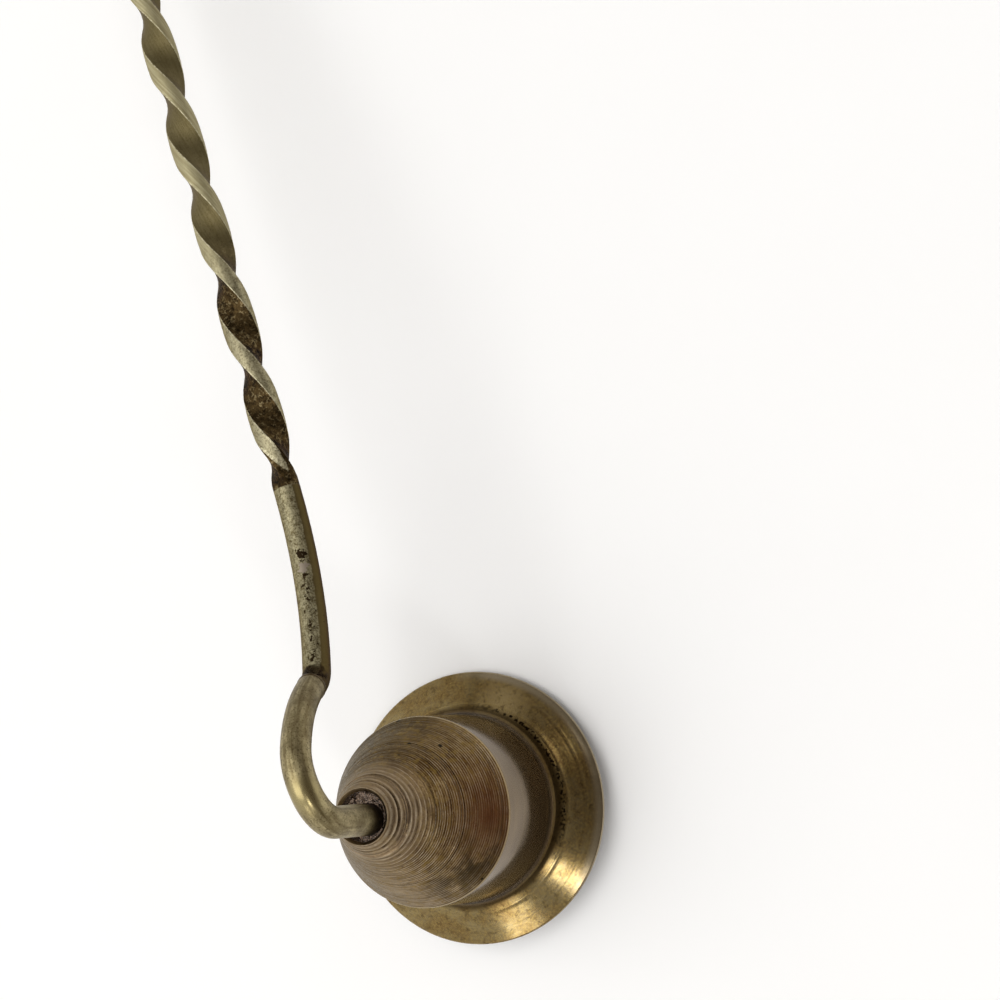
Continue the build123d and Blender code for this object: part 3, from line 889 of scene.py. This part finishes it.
rubbed_and_glint = add(tree, "MapRange", {"Value": along, "From Min": RUBBED_ZONE[0], "From Max": RUBBED_ZONE[1]})
stroke = (1 / SCRATCH_LENGTH, 1 / SCRATCH_WIDTH, 1 / SCRATCH_WIDTH)
stretch = add(tree, "Mapping", {"Vector": flat_space, "Scale": stroke})
scratches = add(tree, "TexNoise", {"Vector": stretch, "Scale": 1.0, "Detail": 3.0})
scratched = add(tree, "MapRange", {"Value": scratches, "From Min": 0.36, "From Max": 0.64})
shaky = shaken(tree, handle, MOTTLE, SQUIGGLE_SHAKE)
squiggles = add(tree, "TexVoronoi", {"Vector": shaky, "Scale": 1 / SQUIGGLE}, "Distance",
                feature="DISTANCE_TO_EDGE")
stroke_line = add(tree, "MapRange", {"Value": squiggles, "From Min": 0.14, "From Max": 0.03, "To Max": 0.7})
stroke_patch = add(tree, "MapRange", {"Value": stains, "From Min": 0.5, "From Max": 0.58})
squiggle = add(tree, "Math", {0: stroke_line, 1: stroke_patch}, operation="MULTIPLY")
coarse = add(tree, "Math", {0: specks, 1: 0.6, 2: mottle}, operation="MULTIPLY_ADD")
crusted = add(tree, "MapRange", {"Value": coarse, "From Min": 0.62, "From Max": 0.98})
flat_specks = add(tree, "MapRange", {"Value": uneven, "From Min": 0.8, "From Max": 0.66, "To Max": 0.4})
pale_skin = add(tree, "MapRange", {"Value": uneven, "From Min": 0.56, "From Max": 0.9})

dirty_flat = layered(tree, "#170F06", (crusted, "#524228"), (squiggle, "#8A7B5A"))
rubbed_flat = layered(tree, "#62583A", (scratched, "#6D6345"), (flat_specks, "#4A4026"))
dirty_skin = layered(tree, "#5E543C", (pale_skin, "#ABA384"))
rubbed_skin = layered(tree, "#948A68", (scratched, "#B0A886"))
flat = layered(tree, dirty_flat, (rubbed_and_glint, rubbed_flat))
twist_side = layered(tree, dirty_skin, (rubbed_and_glint, rubbed_skin))
print("twist:", len(tree.nodes), "nodes")

# %% [markdown]
# Now the zones come together: the shank, over it the sides of the twist, over them the flats, and last the
# painted highlight along the edges. Skin that is rubbed clean looks less like metal than the dirty part, and
# the scorch is kept fully metallic, because anything less turns black into grey.

# %% Handle: put the zones together
HAMMER_MARK = 1.3 * MM

# A painted highlight along the edges of the flats.
painted_edge_highlight = add(tree, "Math", {0: on_edge, 1: speckled}, operation="MULTIPLY")
tone = layered(tree, shank, (in_twist, twist_side), (on_flat, flat), (painted_edge_highlight, "#D2CAA9"))
shine = add(tree, "MapRange", {"Value": rubbed_and_glint, "To Min": 0.8, "To Max": 0.5})
burnt_shine = add(tree, "Math", {0: shine, 1: scorch}, operation="MAXIMUM")
smoothness = add(tree, "MapRange", {"Value": rubbed_and_glint, "To Min": 0.28, "To Max": 0.34})
rough = add(tree, "Math", {0: specks, 1: 0.25, 2: smoothness}, operation="MULTIPLY_ADD")
hammer = add(tree, "TexVoronoi", {"Vector": flat_space, "Scale": 1 / HAMMER_MARK}, "Distance",
             feature="SMOOTH_F1")
dents = add(tree, "Math", {0: uneven, 1: 0.8, 2: hammer}, operation="MULTIPLY_ADD")
bump = add(tree, "Bump", {"Height": dents, "Strength": 0.5, "Distance": 0.08 * MM})
dress(tree, shader, Base_Color=tone, Metallic=burnt_shine, Roughness=rough, Normal=bump)
print("handle brass:", len(tree.nodes), "nodes")

# %% [markdown]
# ## Braze and washer
#
# The neck and the handle meet in a thin line of braze, which has gone darker than the brass. Under the crown
# a washer takes the wear of the swivel; only soot ever touches it. The neck, the handle, the braze and the
# washer keep their measured shapes and only get their finishes.

# %% Braze and washer
# A dark brown line with brighter specks of the filler metal.
braze, tree, shader = new_material("tarnished_braze", Metallic=1.0, Roughness=0.45)
rod = own_space(tree, bell_mouth)
specks = add(tree, "TexNoise", {"Vector": rod, "Scale": 1 / SPECK, "Detail": 3.0})
dress(tree, shader, Base_Color=layered(tree, "#2A1E10", (specks, "#6B5836")))

finishes = {
    "gooseneck": neck_brass,
    "twisted_handle": handle_brass,
    "neck_braze": braze,
    "rivet_washer": soot,
}
for node, material in finishes.items():
    frame["nodes"][node].data.materials.clear()
    frame["nodes"][node].data.materials.append(material)
print("rod finishes", {node: material.name for node, material in finishes.items()})
